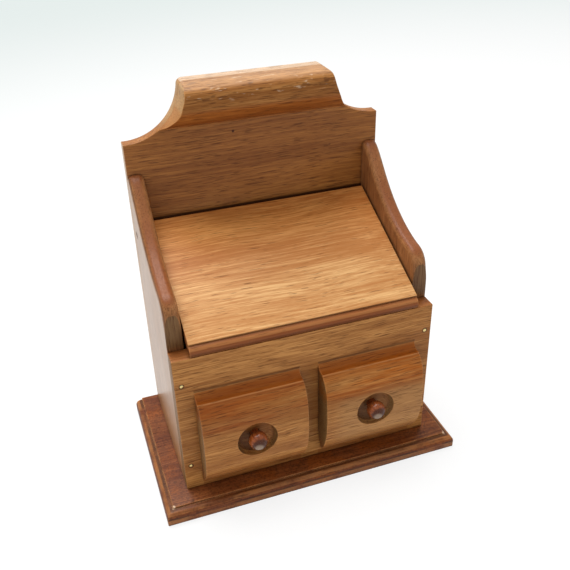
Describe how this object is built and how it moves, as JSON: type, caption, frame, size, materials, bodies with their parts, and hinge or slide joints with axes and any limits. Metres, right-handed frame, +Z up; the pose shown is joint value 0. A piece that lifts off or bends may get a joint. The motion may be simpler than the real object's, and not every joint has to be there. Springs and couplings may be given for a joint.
{
  "type": "index card box",
  "caption": "Wooden desk-top box for index cards: false drawer fronts with turned ball knobs, a sloping lid pinned between swept sides, a tall crested back and a moulded base.",
  "frame": {"origin": "on the surface the box stands on, at the middle of the underside of the base", "axes": "+Z up, the front with the drawer fronts faces -Y, +X to the right seen from the front; the box is symmetric about the plane X = 0"},
  "size_m": [0.182, 0.111, 0.2213],
  "materials": {
    "base_wood": "dark red-brown stain under gloss lacquer",
    "side_wood": "red-brown stain under satin lacquer",
    "board_wood": "medium brown stain under satin lacquer, open pores",
    "crest_wood": "medium brown stain, worn satin lacquer",
    "lid_wood": "golden brown stain under satin lacquer, open pores",
    "knob_wood": "dark red-brown stain under gloss lacquer",
    "brass": "polished",
    "steel": "plain wire"
  },
  "bodies": {
    "case": {"base_board": "base_wood", "side_left": "side_wood", "side_right": "side_wood", "back_board": "board_wood", "crest_moulding": "crest_wood", "front_board": "board_wood", "knob_left": "knob_wood", "knob_right": "knob_wood", "hinge_pin_left": "steel", "hinge_pin_right": "steel", "front_brads": "brass", "back_brads": "brass", "base_screws": "steel"},
    "lid": {"lid": "lid_wood"}
  },
  "joints": [
    {"name": "lid_hinge", "type": "hinge", "parent": "case", "child": "lid", "pos_m": [0, 0.03693, 0.13906], "axis": [-1, 0, 0], "range_deg": [0, 104.8]}
  ]
}
